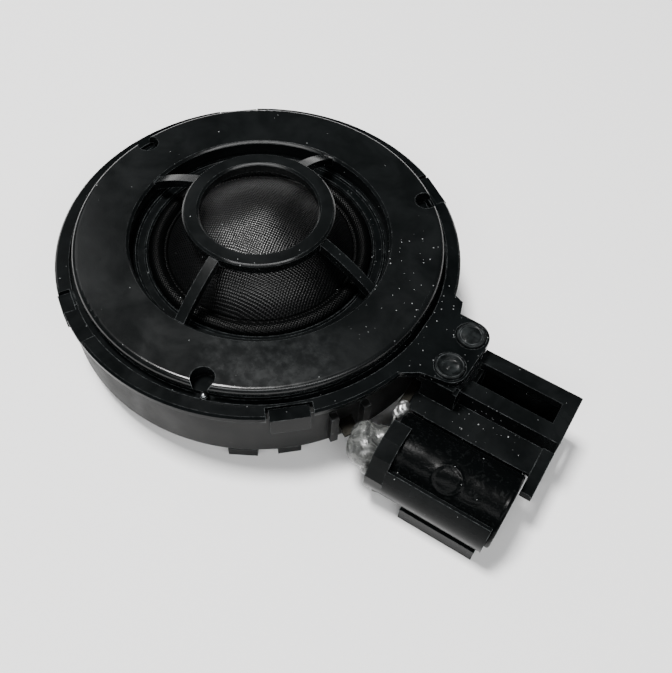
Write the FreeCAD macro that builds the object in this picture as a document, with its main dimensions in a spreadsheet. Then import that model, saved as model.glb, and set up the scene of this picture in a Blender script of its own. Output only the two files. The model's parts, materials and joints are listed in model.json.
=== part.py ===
import FreeCAD, Part
import Sketcher
import math
import os
import re

# Car tweeter: a 25 mm soft dome in a round two-part case, with a side arm that
# carries a plug socket and the crossover capacitor. Millimetres, +Z is the way
# the dome faces, +X runs out along the arm. The origin is on the dome's axis, at
# the centre of the flat rear face. Heights in the sheet are measured from the
# flange's underside, and every piece is placed flange_height above the origin.

DIMENSIONS = {
    "flange_height": 11.6,
    # front ring with its raised guard over the dome
    "trim_radius": 25.0, "trim_skirt_radius": 24.5, "trim_top": 3.0, "trim_base": 1.1,
    "trim_step": 1.75, "trim_round": 0.75, "opening_radius": 17.5, "sleeve_radius": 18.6,
    "sleeve_base": 0.45, "opening_bevel": 0.35,
    "guard_outer": 9.96, "guard_inner": 7.81, "guard_top": 7.9, "guard_base": 6.45,
    "guard_bevel": 0.3, "spoke_width": 1.4, "spoke_bow": 32.0, "spoke_foot": 1.2, "spoke_top": 2.75,
    "notch_radius": 1.5, "notch_centre": 23.8, "notch_angle": 48.0,
    # carrier moulding
    "flange_radius": 27.5, "flange_top": 1.0, "rim_bevel": 0.3, "seat_level": -0.15,
    "seat_inner": 15.2, "well_radius": 18.75, "web_base": -1.3, "spigot_radius": 25.4,
    "spigot_inner": 24.0, "spigot_depth": 2.0, "collar_outer": 17.1, "collar_depth": 5.0,
    "window_inner": 25.9, "tab_reach": 27.6, "tab_depth": 2.6, "tab_top": 0.45,
    "groove_inner": 24.6, "groove_outer": 25.6, "groove_depth": 0.6,
    # the lug with its shoulders, and its two heat stakes
    "lug_root": 25.5, "lug_rear": 7.5, "lug_front": -8.0, "front_shoulder_x": 26.3,
    "front_neck_x": 28.4, "front_neck_y": -6.6, "rear_neck_x": 28.6, "rear_shoulder_x": 28.0,
    "rear_shoulder_y": 6.1, "rear_step_x": 26.7, "rear_step_y": 6.6, "recess_depth": 0.3,
    "stake_x": 31.3, "stake_y": 1.85, "second_x": 31.1, "second_y": -3.7,
    "lug_round": 2.4, "post_radius": 0.95, "post_hole": 1.0, "head_recess": 2.05,
    "stake_foot": 1.2, "foot_depth": 0.5, "head_seat": 0.72,
    # the bright pin in the flange's groove
    "pin_distance": 25.1, "pin_angle": -71.0, "pin_stem": 0.42, "pin_head": 0.66,
    # rear case
    "wall_radius": 27.0, "wall_inner": 25.5, "case_base": -9.5, "case_floor": -8.6,
    "case_round": 1.8, "hump_radius": 16.9, "hump_base": -11.6, "hump_floor": -10.85,
    # motor
    "pot_radius": 15.6, "pot_bore": 13.45, "pot_top": -2.0, "pot_base": -10.8,
    "magnet_radius": 11.8, "magnet_base": -9.0, "plate_base": -4.5, "plate_radius": 12.25,
    "pad_radius": 9.0, "pad_thickness": 1.5,
    # moving parts
    "dome_radius": 12.8, "dome_height": 7.0, "cloth": 0.25,
    "former_inner": 12.5, "former_outer": 12.65, "former_depth": 5.2,
    "winding_outer": 13.1, "winding_base": -5.0, "winding_top": -1.6,
    "roll_centre": 14.15, "roll_radius": 1.0, "clamp_inner": 15.3, "clamp_thickness": 0.3,
    # capacitor and its cradle
    "cap_y": -14.05, "cap_z": -5.8, "can_radius": 4.72, "sleeve_skin": 0.22,
    "can_start": 29.4, "can_end": 45.15, "cradle_inner": 5.05, "cradle_outer": 5.8,
    "cradle_start": 31.1, "cradle_end": 44.8, "hook_start": 28.7,
    # arm
    "arm_end": 47.1, "socket_start": 33.6, "socket_front": -4.75, "socket_back": 2.9,
    "socket_top": -1.5, "socket_base": -9.5, "tongue_top": -0.05, "tongue_base": -1.4,
    "tongue_start": 28.0, "tongue_end": 33.0, "tongue_front": -6.3, "tongue_back": 4.0,
    "web_start": 32.6, "web_end": 33.55, "web_front": -5.2, "web_foot": -3.7,
    "apron_front": -8.2, "apron_back": -5.0, "apron_step": -6.2,
    "floor_start": 28.6, "floor_end": 45.8, "floor_front": -8.9, "floor_top": -4.2,
    "floor_base": -4.9, "stop_start": 45.6, "stop_front": -11.6, "stop_base": -5.2,
    "stop_top": -4.0, "rim_rise": 35.0,
    "hook_shoulder": -4.4, "hook_side_y": -18.3, "hook_side_z": -1.5, "hook_crown_y": -16.2,
    "hook_top": -0.3, "hook_reach": 0.75,
    "foot_start": 33.9, "foot_end": 44.2, "foot_front": -19.4, "foot_back": -10.0, "foot_top": -9.2,
    "shelf_start": 27.6, "shelf_end": 31.3, "shelf_back": -11.0, "shelf_front": -17.6,
    "shelf_point_x": 29.9, "shelf_point_y": -19.6, "shelf_end_y": -19.2,
    "shelf_base": -8.1, "shelf_top": -7.3,
    "slot_front": -2.45, "slot_back": 0.7, "slot_end": 45.2, "slot_margin": 0.35,
    "side_wall": 1.1, "top_wall": 1.2, "end_wall": 1.0, "blade_seat_end": 37.0,
    # metal strips
    "blade_front": -3.4, "blade_back": -1.75, "upper_blade": -4.6, "lower_blade": -7.2,
    "blade_thickness": 0.8, "blade_tip": 43.5, "feed_angle": -33.0,
    "return_angle": -8.0, "upper_root": 27.3, "tail_end": 28.4, "tail_y": -9.95,
    "tail_rise": 0.45, "tail_thickness": 0.35, "riser_start": 19.2, "riser_end": 20.0,
    "riser_top": -2.0, "feed_half_width": 1.0, "feed_base": -4.4, "feed_thickness": 0.4,
    "feed_end": 29.3,
    # lead-out wires: level in the channel, place of the hole down, end on the strip
    "channel_level": -0.55, "hole_distance": 17.85, "hole_foot": -2.3, "wire_end": 18.9,
    "wire_end_level": -3.1, "wire_radius": 0.16,
}
# rim windows: angle, width of the window and width of the snap tab in it
WINDOWS = ((-48.0, 5.8, 5.0), (-124.3, 3.2, 3.0), (56.0, 5.8, 5.6), (132.0, 5.8, 5.6))
RIB_ANGLES = (-36.6, -27.5)
# set drops, each an ellipsoid given by its centre and its three radii
MELT_DROPS = (((26.3, -16.6, -4.3), (2.45, 2.75, 2.9)), ((24.9, -15.3, -4.1), (2.2, 2.1, 2.4)),
              ((27.4, -14.6, -3.1), (1.5, 1.9, 1.5)))
SOLDER_DROP = ((27.9, -9.9, -3.35), (0.85, 1.25, 0.75))
GAP = 0.02          # clearance between pieces that sit against each other

doc = FreeCAD.newDocument("car_tweeter")
sheet = doc.addObject("Spreadsheet::Sheet", "Dims")
for row, (alias, size) in enumerate(DIMENSIONS.items(), start=1):
    sheet.set("A%d" % row, alias)
    sheet.set("B%d" % row, str(size))
    sheet.setAlias("B%d" % row, alias)
doc.recompute()


# ---------------------------------------------------------------- helpers

def linked(size):
    """Expression text that reads the sheet; size is a number or an expression in its aliases."""
    return re.sub(r"[a-z_]+", lambda word: "Dims." + word.group(0)
                  if word.group(0) in DIMENSIONS else word.group(0), str(size))


def number(size):
    """The value that an expression in the sheet's aliases has now."""
    return float(sheet.evalExpression(str(size)))


def new_body(name):
    body = doc.addObject("PartDesign::Body", name)
    body.Label = name
    place(body)
    return body


def place(item, x=0, y=0, z=0, angle=0.0):
    """Puts a finished piece in the part's frame, raised from flange heights to the origin's."""
    item.Placement = FreeCAD.Placement(FreeCAD.Vector(0, 0, 0), z_turn(angle))
    item.setExpression("Placement.Base.x", linked(x))
    item.setExpression("Placement.Base.y", linked(y))
    item.setExpression("Placement.Base.z", linked("flange_height + (%s)" % z))


def sketch_on(body, role, offset=0, angle=0.0):
    """An empty sketch on one of the body's own planes, moved along and turned about its normal."""
    plane = [item for item in body.Origin.OriginFeatures if item.Role == role][0]
    sketch = body.newObject("Sketcher::SketchObject", body.Name + "_sketch")
    sketch.AttachmentSupport = (plane, "")
    sketch.MapMode = "FlatFace"
    sketch.AttachmentOffset = FreeCAD.Placement(FreeCAD.Vector(0, 0, 0), z_turn(angle))
    sketch.setExpression("AttachmentOffset.Base.z", linked(offset))
    return sketch


def draw_outline(sketch, corners, arcs=()):
    """A closed outline whose corners are bound to the sheet.

    arcs maps the number of the corner that an arc starts from to (radius, side),
    with side +1 for an arc that turns left on its way to the next corner.
    """
    arcs = dict(arcs)
    points = [FreeCAD.Vector(number(x), number(y), 0) for x, y in corners]
    first = sketch.GeometryCount
    ends = []
    for i, start in enumerate(points):
        end = points[(i + 1) % len(points)]
        if i in arcs:
            radius, side = number(arcs[i][0]), arcs[i][1]
            middle, across = (start + end) / 2, end - start
            height = math.sqrt(max(radius ** 2 - (across.Length / 2) ** 2, 0.0))
            normal = FreeCAD.Vector(-across.y, across.x, 0).normalize()
            centre = middle + normal * (height * side)
            angles = [math.atan2(p.y - centre.y, p.x - centre.x) for p in (start, end)]
            if side < 0:
                angles.reverse()
            circle = Part.Circle(centre, FreeCAD.Vector(0, 0, 1), radius)
            sketch.addGeometry(Part.ArcOfCircle(circle, angles[0], angles[1]), False)
            ends.append((1, 2) if side > 0 else (2, 1))
        else:
            sketch.addGeometry(Part.LineSegment(start, end), False)
            ends.append((1, 2))
    for i, (x, y) in enumerate(corners):
        item, after = first + i, first + (i + 1) % len(corners)
        sketch.addConstraint(Sketcher.Constraint(
            "Coincident", item, ends[i][1], after, ends[(i + 1) % len(corners)][0]))
        for kind, size in (("DistanceX", x), ("DistanceY", y)):
            index = sketch.addConstraint(Sketcher.Constraint(
                kind, -1, 1, item, ends[i][0], number(size)))
            sketch.setExpression("Constraints[%d]" % index, linked(size))
        if i in arcs:
            index = sketch.addConstraint(Sketcher.Constraint("Radius", item, number(arcs[i][0])))
            sketch.setExpression("Constraints[%d]" % index, linked(arcs[i][0]))


def draw_circle(sketch, radius, x=0, y=0):
    centre = FreeCAD.Vector(number(x), number(y), 0)
    item = sketch.addGeometry(Part.Circle(centre, FreeCAD.Vector(0, 0, 1), number(radius)), False)
    for kind, size in (("DistanceX", x), ("DistanceY", y)):
        index = sketch.addConstraint(Sketcher.Constraint(kind, -1, 1, item, 3, number(size)))
        sketch.setExpression("Constraints[%d]" % index, linked(size))
    index = sketch.addConstraint(Sketcher.Constraint("Radius", item, number(radius)))
    sketch.setExpression("Constraints[%d]" % index, linked(radius))


def rectangle(x0, y0, x1, y1):
    return [(x0, y0), (x1, y0), (x1, y1), (x0, y1)]


def feature(body, kind, sketch, **settings):
    """A sketch-based feature; a text setting is an expression in the sheet's aliases."""
    doc.recompute()
    before = body.Shape.Volume if body.Tip else 0.0
    item = body.newObject("PartDesign::" + kind, body.Name + "_" + kind.lower())
    item.Profile = sketch
    for key, setting in settings.items():
        if isinstance(setting, str):
            item.setExpression(key, linked(setting))
        else:
            setattr(item, key, setting)
    doc.recompute()
    if abs(body.Shape.Volume - before) < 1e-4:
        raise RuntimeError("%s of %s changes nothing" % (kind, body.Name))
    return item


def pad(body, corners, base, top, arcs=(), role="XY_Plane"):
    """Material from base to top along the plane's normal."""
    sketch = sketch_on(body, role, base)
    draw_outline(sketch, corners, arcs)
    return feature(body, "Pad", sketch, Length="(%s) - (%s)" % (top, base))


def cut(body, corners, base, top, arcs=(), role="XY_Plane"):
    """A pocket from base to top along the plane's normal."""
    sketch = sketch_on(body, role, base)
    draw_outline(sketch, corners, arcs)
    return feature(body, "Pocket", sketch, Reversed=True, Length="(%s) - (%s)" % (top, base))


def turn(body, corners, arcs=(), kind="Revolution"):
    """Corners as (radius, height), turned round the dome's axis."""
    sketch = sketch_on(body, "XZ_Plane")
    draw_outline(sketch, corners, arcs)
    return feature(body, kind, sketch, ReferenceAxis=(sketch, ["V_Axis"]), Angle=360.0)


def repeat_round(body, item, count):
    """The feature repeated evenly round the dome's axis."""
    axis = [part for part in body.Origin.OriginFeatures if part.Role == "Z_Axis"][0]
    pattern = body.newObject("PartDesign::PolarPattern", body.Name + "_pattern")
    pattern.Originals = [item]
    pattern.Axis = (axis, [""])
    pattern.Angle = 360.0
    pattern.Occurrences = count
    body.Tip = pattern
    doc.recompute()
    return pattern


def cylinder(name, radius, base, top, bore=None):
    """A disc or tube on the dome's axis, from primitives."""
    outer = doc.addObject("Part::Cylinder", name if bore is None else name + "_outside")
    outer.setExpression("Radius", linked(radius))
    outer.setExpression("Height", linked("(%s) - (%s)" % (top, base)))
    if bore is None:
        outer.Label = name
        place(outer, z=base)
        return outer
    outer.setExpression("Placement.Base.z", linked(base))
    inner = doc.addObject("Part::Cylinder", name + "_inside")
    inner.setExpression("Radius", linked(bore))
    inner.setExpression("Height", linked("(%s) - (%s) + 2" % (top, base)))
    inner.setExpression("Placement.Base.z", linked("(%s) - 1" % base))
    tube = doc.addObject("Part::Cut", name)
    tube.Base, tube.Tool, tube.Label = outer, inner, name
    place(tube)
    return tube


def code_shape(name, shape, angle=0.0):
    """A piece whose shape is made in code from the sheet's sizes, turned about the dome's axis."""
    item = doc.addObject("Part::Feature", name)
    item.Shape = shape
    item.Label = name
    place(item, angle=angle)


def z_turn(angle):
    return FreeCAD.Rotation(FreeCAD.Vector(0, 0, 1), angle)


def turned(shape, angle):
    copy = shape.copy()
    copy.rotate(FreeCAD.Vector(0, 0, 0), FreeCAD.Vector(0, 0, 1), angle)
    return copy


def block(x0, y0, z0, x1, y1, z1):
    """A box between two corners."""
    low, high = FreeCAD.Vector(x0, y0, z0), FreeCAD.Vector(x1, y1, z1)
    return Part.makeBox(high.x - low.x, high.y - low.y, high.z - low.z, low)


def round_wire(points, radius):
    """A bent wire: straight rods through the points, with a ball at each bend."""
    points = [FreeCAD.Vector(*point) for point in points]
    rods = [Part.makeCylinder(radius, (b - a).Length, a, b - a) for a, b in zip(points, points[1:])]
    balls = [Part.makeSphere(radius, point) for point in points[1:-1]]
    return rods[0].multiFuse(rods[1:] + balls).removeSplitter()


def drop(centre, radii):
    """An ellipsoid, the shape of a set drop."""
    matrix = FreeCAD.Matrix()
    matrix.scale(*radii)
    matrix.move(FreeCAD.Vector(*centre))
    return Part.makeSphere(1.0).transformGeometry(matrix)


# ---------------------------------------------------------------- front ring

def make_front_ring():
    """Ring, raised guard ring and four arched spokes: one moulding."""
    body = new_body("front_guard_ring")
    turn(body, [("opening_radius", "sleeve_base"), ("sleeve_radius", "sleeve_base"),
                ("sleeve_radius", "trim_base"), ("trim_skirt_radius", "trim_base"),
                ("trim_skirt_radius", "trim_step"), ("trim_radius", "trim_step"),
                ("trim_radius", "trim_top - trim_round"), ("trim_radius - trim_round", "trim_top"),
                ("opening_radius + opening_bevel", "trim_top"),
                ("opening_radius", "trim_top - opening_bevel")],
         {6: ("trim_round", 1)})
    turn(body, [("guard_inner", "guard_base"), ("guard_outer", "guard_base"),
                ("guard_outer", "guard_top - guard_bevel"),
                ("guard_outer - guard_bevel", "guard_top"),
                ("guard_inner + guard_bevel", "guard_top"),
                ("guard_inner", "guard_top - guard_bevel")])
    sketch = sketch_on(body, "XZ_Plane")
    root, tip = "guard_outer - 0.9", "opening_radius + 0.3"
    draw_outline(sketch, [(root, "guard_base"), (tip, "spoke_foot"), (tip, "spoke_top"),
                          (root, "guard_top - 0.25")],
                 {0: ("spoke_bow", -1), 2: ("spoke_bow", 1)})
    spoke = feature(body, "Pad", sketch, Length="spoke_width", Midplane=True)
    repeat_round(body, spoke, 4)
    sketch = sketch_on(body, "XY_Plane", "trim_top")
    draw_circle(sketch, "notch_radius", "notch_centre * cos(notch_angle)",
                "notch_centre * sin(notch_angle)")
    notch = feature(body, "Pocket", sketch, Length="trim_top - trim_base + 0.5")
    repeat_round(body, notch, 3)


# ---------------------------------------------------------------- carrier

def make_carrier():
    """Flange, surround seat, magnet collar and the side lug."""
    body = new_body("carrier_flange")
    turn(body, [("seat_inner", "seat_level"), ("seat_inner", "pot_top + 0.05"),
                ("pot_radius + 0.05", "pot_top + 0.05"), ("pot_radius + 0.05", "-collar_depth"),
                ("collar_outer", "-collar_depth"), ("collar_outer", "web_base"),
                ("spigot_inner", "web_base"), ("spigot_inner", "-spigot_depth"),
                ("spigot_radius", "-spigot_depth"), ("spigot_radius", "0"),
                ("flange_radius", "0"), ("flange_radius", "flange_top - rim_bevel"),
                ("flange_radius - rim_bevel", "flange_top"), ("groove_outer", "flange_top"),
                ("groove_outer", "flange_top - groove_depth"),
                ("groove_inner", "flange_top - groove_depth"), ("groove_inner", "flange_top"),
                ("well_radius", "flange_top"),
                ("well_radius", "seat_level")])
    pad(body, [("lug_root", "lug_rear"), ("lug_root", "lug_front"), ("front_shoulder_x", "lug_front"),
               ("front_neck_x", "front_neck_y"), ("second_x", "second_y - lug_round"),
               ("second_x + lug_round", "second_y"), ("stake_x + lug_round", "stake_y"),
               ("stake_x", "stake_y + lug_round"), ("rear_neck_x", "stake_y + lug_round"),
               ("rear_shoulder_x", "rear_shoulder_y"), ("rear_step_x", "rear_step_y")],
        "0", "flange_top", {4: ("lug_round", 1), 6: ("lug_round", 1)})
    sketch = sketch_on(body, "XY_Plane", "flange_top")
    draw_circle(sketch, "head_recess", "stake_x", "stake_y")
    draw_circle(sketch, "head_recess", "second_x", "second_y")
    feature(body, "Pocket", sketch, Length="recess_depth")
    sketch = sketch_on(body, "XY_Plane", "flange_top")
    draw_circle(sketch, "post_hole", "stake_x", "stake_y")
    draw_circle(sketch, "post_hole", "second_x", "second_y")
    feature(body, "Pocket", sketch, Length="flange_top + 0.5")
    # channels for the two lead-out wires, each with a hole down through the web
    for angle in (number("return_angle"), number("feed_angle")):
        sketch = sketch_on(body, "XY_Plane", "seat_level", angle)
        draw_outline(sketch, rectangle("seat_inner - 0.5", "-0.6", "18.4", "0.6"))
        feature(body, "Pocket", sketch, Length="0.75")
        sketch = sketch_on(body, "XY_Plane", "seat_level", angle)
        draw_outline(sketch, rectangle("17.3", "-0.6", "18.4", "0.6"))
        feature(body, "Pocket", sketch, Length="2")
    # rim windows, each with a snap tab that hangs down outside the case wall
    for angle, window, tab in WINDOWS:
        for kind, inner, outer, base, top, width in (
                ("Pocket", "window_inner", "29", "-0.5", "flange_top + 0.5", window),
                ("Pad", "window_inner - 0.4", "tab_reach", "0", "tab_top", tab),
                ("Pad", "wall_radius + 0.12", "tab_reach", "-tab_depth", "0.2", tab)):
            sketch = sketch_on(body, "XY_Plane", base, angle)
            half = width / 2
            draw_outline(sketch, rectangle(inner, -half, outer, half))
            feature(body, kind, sketch, Length="(%s) - (%s)" % (top, base),
                    **({"Reversed": True} if kind == "Pocket" else {}))
    # the rim is a little lower beside the narrow window
    sketch = sketch_on(body, "XY_Plane", "flange_top", -115.0)
    draw_outline(sketch, rectangle("groove_outer - 0.4", "-3", "29", "2.6"))
    feature(body, "Pocket", sketch, Length="0.35")


def make_heat_stakes():
    """The two posts of the arm, with their melted heads on the lug."""
    base = "tongue_base - foot_depth"
    domed = new_body("heat_stake_domed")
    turn(domed, [("0", base), ("stake_foot", base), ("stake_foot", "tongue_base - %s" % GAP),
                 ("post_radius", "tongue_base - %s" % GAP), ("post_radius", "head_seat"),
                 ("1.75", "head_seat"), ("1.85", "flange_top + 0.15"),
                 ("1.5", "flange_top + 0.5"), ("0", "flange_top + 0.62")])
    place(domed, "stake_x", "stake_y")
    hollow = new_body("heat_stake_hollow")
    turn(hollow, [("0", base), ("stake_foot", base), ("stake_foot", "tongue_base - %s" % GAP),
                  ("post_radius", "tongue_base - %s" % GAP), ("post_radius", "head_seat"),
                  ("1.95", "head_seat"), ("1.95", "flange_top + 0.2"),
                  ("1.75", "flange_top + 0.35"), ("1.5", "flange_top + 0.3"),
                  ("1.3", "flange_top - 0.1"), ("0.7", "flange_top - 0.1"),
                  ("0.45", "flange_top + 0.12"), ("0", "flange_top + 0.18")])
    place(hollow, "second_x", "second_y")


def make_locating_pin():
    """A small bright pin that stands in the flange's groove inside the front notch."""
    pin = new_body("locating_pin")
    foot = "flange_top - groove_depth + 0.01"
    turn(pin, [("0", foot), ("pin_stem", foot), ("pin_stem", "flange_top + 0.05"),
               ("pin_head - 0.02", "flange_top + 0.05"), ("pin_head", "flange_top + 0.4"),
               ("pin_head - 0.16", "flange_top + 0.8"), ("pin_head - 0.41", "flange_top + 1"),
               ("0", "flange_top + 1.05")])
    place(pin, "pin_distance * cos(pin_angle)", "pin_distance * sin(pin_angle)")


# ---------------------------------------------------------------- rear case

def make_rear_case():
    body = new_body("rear_case")
    turn(body, [("0", "hump_base"), ("hump_radius - 0.6", "hump_base"),
                ("hump_radius", "hump_base + 0.6"), ("hump_radius", "case_base"),
                ("wall_radius - case_round", "case_base"), ("wall_radius", "case_base + case_round"),
                ("wall_radius", "0"), ("wall_inner", "0"), ("wall_inner", "case_floor + 0.9"),
                ("wall_inner - 0.9", "case_floor"), ("pot_radius + 0.1", "case_floor"),
                ("pot_radius + 0.1", "hump_floor"), ("0", "hump_floor")],
         {4: ("case_round", 1), 8: ("0.9", -1)})
    # three pairs of standing pads near the rim of the back
    pads = []
    for angle, half, drop_below in ((-61.0, 1.9, 0.95), (-48.0, 1.5, 0.6)):
        sketch = sketch_on(body, "XY_Plane", "case_base - %s" % drop_below, angle)
        draw_outline(sketch, rectangle("22.5", -half, "wall_radius - 0.3", half))
        pads.append(feature(body, "Pad", sketch, Length=drop_below + 0.65))
    pattern = repeat_round(body, pads[0], 3)
    pattern.Originals = pads
    doc.recompute()
    # wall windows for the two metal strips
    for angle, low, high, half_low, half_high in (
            (0.0, "lower_blade - 0.3", "lower_blade + blade_thickness + 0.3",
             "blade_front - 0.3", "blade_back + 0.3"),
            (number("feed_angle"), "-4.6", "-3.8", "-1.2", "1.2")):
        sketch = sketch_on(body, "XY_Plane", low, angle)
        draw_outline(sketch, rectangle("24.5", half_low, "28", half_high))
        feature(body, "Pocket", sketch, Reversed=True, Length="(%s) - (%s)" % (high, low))
    # two ribs beside the feed window guide the glued wire
    for angle in RIB_ANGLES:
        sketch = sketch_on(body, "XY_Plane", "-7", angle)
        draw_outline(sketch, rectangle("wall_radius - 0.5", "-0.5", "wall_radius + 1.1", "0.5"))
        feature(body, "Pad", sketch, Length="5.6")


# ---------------------------------------------------------------- motor

def make_motor():
    cylinder("magnet_disc", "magnet_radius", "magnet_base", "plate_base")
    cylinder("pole_plate", "plate_radius", "plate_base", "pot_top")
    cylinder("damping_felt", "pad_radius", "pot_top", "pot_top + pad_thickness")
    pot = new_body("steel_pot")
    turn(pot, [("0", "pot_base"), ("pot_radius - 0.5", "pot_base"), ("pot_radius", "pot_base + 0.5"),
               ("pot_radius", "pot_top"), ("pot_bore", "pot_top"), ("pot_bore", "magnet_base"),
               ("0", "magnet_base")])
    ring = new_body("surround_clamp_ring")
    base = "seat_level + cloth + %s" % GAP
    top = "(%s) + clamp_thickness" % base
    turn(ring, [("clamp_inner", base), ("sleeve_radius", base), ("sleeve_radius", top),
                ("17.2", top), ("16.95", "(%s) + 0.25" % top), ("16.7", top), ("15.8", top),
                ("15.55", "(%s) + 0.25" % top), ("clamp_inner", top)])


def make_moving_parts():
    """Dome, surround, former and winding move together along the axis."""
    dome_sphere = "(dome_radius ^ 2 + dome_height ^ 2) / (2 * dome_height)"
    spheres = []
    for name, radius in (("dome_outside", dome_sphere), ("dome_inside", dome_sphere + " - cloth")):
        sphere = doc.addObject("Part::Sphere", name)
        sphere.setExpression("Radius", linked(radius))
        sphere.setExpression("Placement.Base.z", linked("dome_height - (%s)" % dome_sphere))
        spheres.append(sphere)
    shell = doc.addObject("Part::Cut", "dome_shell")
    shell.Base, shell.Tool = spheres
    keep = doc.addObject("Part::Box", "dome_keep")
    for side in ("Length", "Width"):
        keep.setExpression(side, linked("4 * dome_radius"))
    keep.setExpression("Height", linked("2 * dome_height"))
    keep.setExpression("Placement.Base.x", linked("-2 * dome_radius"))
    keep.setExpression("Placement.Base.y", linked("-2 * dome_radius"))
    dome = doc.addObject("Part::Common", "soft_dome")
    dome.Base, dome.Tool, dome.Label = shell, keep, "soft_dome"
    place(dome)

    cylinder("coil_former", "former_outer", "-former_depth", "-%s" % GAP, "former_inner")
    cylinder("coil_winding", "winding_outer", "winding_base", "winding_top",
             "former_outer + %s" % GAP)

    surround = new_body("surround_roll")
    inner, outer = "roll_centre - roll_radius + 0.02", "roll_centre + roll_radius - 0.02"
    inside = "roll_radius - cloth"
    turn(surround, [("dome_radius + 0.06", "0"), ("roll_centre - (%s)" % inside, "0"),
                    ("roll_centre", inside), ("roll_centre + (%s)" % inside, "0"),
                    ("roll_centre + (%s)" % inside, "seat_level"),
                    ("17.3", "seat_level"), ("17.3", "seat_level + cloth"),
                    (outer, "seat_level + cloth"), ("roll_centre", "roll_radius"),
                    (inner, "cloth"), ("dome_radius + 0.06", "cloth")],
         {1: (inside, -1), 2: (inside, -1), 7: ("roll_radius", 1), 8: ("roll_radius", 1)})


def make_lead_out_wires():
    """Thin braided wires from the winding, along the carrier's channels, to the strips."""
    level, hole = number("channel_level"), number("hole_distance")
    path = [(number("winding_outer") + 0.25, 0, level), (hole, 0, level),
            (hole, 0, number("hole_foot")), (number("wire_end"), 0, number("wire_end_level"))]
    for name, angle in (("lead_out_wire_negative", "return_angle"),
                        ("lead_out_wire_positive", "feed_angle")):
        code_shape(name, round_wire(path, number("wire_radius")), number(angle))


# ---------------------------------------------------------------- arm

def make_arm():
    """Tongue under the lug, floor, capacitor cradle with its hook, shelf and end stop."""
    body = new_body("arm_bracket")
    pad(body, [("tongue_start", "tongue_front"), ("tongue_end", "tongue_front"),
               ("tongue_end", "tongue_back - 1"), ("tongue_end - 0.8", "tongue_back"),
               ("tongue_start", "tongue_back")], "tongue_base", "tongue_top")
    sketch = sketch_on(body, "XY_Plane", "tongue_top")
    draw_circle(sketch, "post_hole", "stake_x", "stake_y")
    draw_circle(sketch, "post_hole", "second_x", "second_y")
    feature(body, "Pocket", sketch, Length="tongue_top - tongue_base + 0.1")
    # web that closes the step down to the socket, and apron that ties the tongue to the floor
    pad(body, rectangle("web_start", "web_front", "web_end", "socket_back"),
        "web_foot", "tongue_base + 0.1")
    pad(body, rectangle("tongue_start", "apron_front", "web_end", "apron_back"),
        "floor_base", "tongue_top - 0.6")
    cut(body, rectangle("tongue_start - 1", "apron_front - 0.8", "web_end + 0.45", "apron_step"),
        "floor_top", "1")
    cut(body, rectangle("tongue_start - 1", "tongue_front", "floor_start + 0.2", "apron_back + 0.1"),
        "floor_top", "tongue_base")
    pad(body, rectangle("floor_start", "floor_front", "floor_end", "socket_front - %s" % GAP),
        "floor_base", "floor_top")
    # cradle: a trough round the lower half of the capacitor, taller on its open side
    open_side = [("cap_y - %s * cos(rim_rise * 1deg)" % radius,
                  "cap_z + %s * sin(rim_rise * 1deg)" % radius)
                 for radius in ("cradle_inner", "cradle_outer")]
    trough = [("cap_y + cradle_outer", "floor_top"), ("cap_y + cradle_inner", "floor_top"),
              ("cap_y + cradle_inner", "cap_z"), ("cap_y", "cap_z - cradle_inner"),
              open_side[0], open_side[1], ("cap_y", "cap_z - cradle_outer"),
              ("cap_y + cradle_outer", "cap_z")]
    pad(body, trough, "cradle_start - 0.1", "cradle_end",
        {2: ("cradle_inner", -1), 3: ("cradle_inner", -1), 5: ("cradle_outer", 1),
         6: ("cradle_outer", 1)}, "YZ_Plane")
    # hook that rises from the trough's open side and curls over the capacitor's inner end
    tip = ("cap_y + hook_reach", "cap_z + sqrt(cradle_inner ^ 2 - hook_reach ^ 2)")
    pad(body, [("cap_y", "cap_z - cradle_inner"), ("cap_y", "cap_z - cradle_outer"),
               ("cap_y - cradle_outer", "cap_z"), ("cap_y - cradle_outer", "hook_shoulder"),
               ("hook_side_y", "hook_side_z"), ("hook_crown_y", "hook_top"),
               ("cap_y + hook_reach", "hook_top"), tip, ("cap_y - cradle_inner", "cap_z")],
        "hook_start", "cradle_start",
        {1: ("cradle_outer", -1), 7: ("cradle_inner", 1), 8: ("cradle_inner", 1)}, "YZ_Plane")
    # foot under the cradle, shelf below the glued joint, end stop
    pad(body, rectangle("foot_start", "foot_front", "foot_end", "foot_back"),
        "-flange_height", "foot_top")
    pad(body, [("shelf_start", "shelf_back"), ("shelf_start", "shelf_front"),
               ("shelf_point_x", "shelf_point_y"), ("shelf_end", "shelf_end_y"),
               ("shelf_end", "shelf_back")], "shelf_base", "shelf_top")
    sketch = sketch_on(body, "YZ_Plane", "shelf_start - 0.6")
    draw_circle(sketch, "cradle_inner", "cap_y", "cap_z")
    feature(body, "Pocket", sketch, Reversed=True, Length="cradle_end - shelf_start + 0.6")
    pad(body, rectangle("stop_front", "stop_base", "socket_front - %s" % GAP, "stop_top"),
        "stop_start", "arm_end", (), "YZ_Plane")


def make_socket():
    """Plug socket: a square shroud, open at the arm's end, with a long window on top."""
    body = new_body("socket_shroud")
    pad(body, rectangle("socket_start", "socket_front", "arm_end", "socket_back"),
        "socket_base", "socket_top")
    cut(body, rectangle("socket_front + side_wall", "socket_base + top_wall",
                        "socket_back - side_wall", "socket_top - top_wall"),
        "socket_start + end_wall", "arm_end + 1", (), "YZ_Plane")
    cut(body, rectangle("socket_start + slot_margin", "slot_front", "slot_end", "slot_back"),
        "socket_top - top_wall - 0.2", "0")
    for blade in ("upper_blade", "lower_blade"):
        cut(body, rectangle("blade_front - %s" % GAP, "%s - %s" % (blade, GAP),
                            "blade_back + %s" % GAP, "%s + blade_thickness + %s" % (blade, GAP)),
            "socket_start - 1", "blade_seat_end", (), "YZ_Plane")


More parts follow.
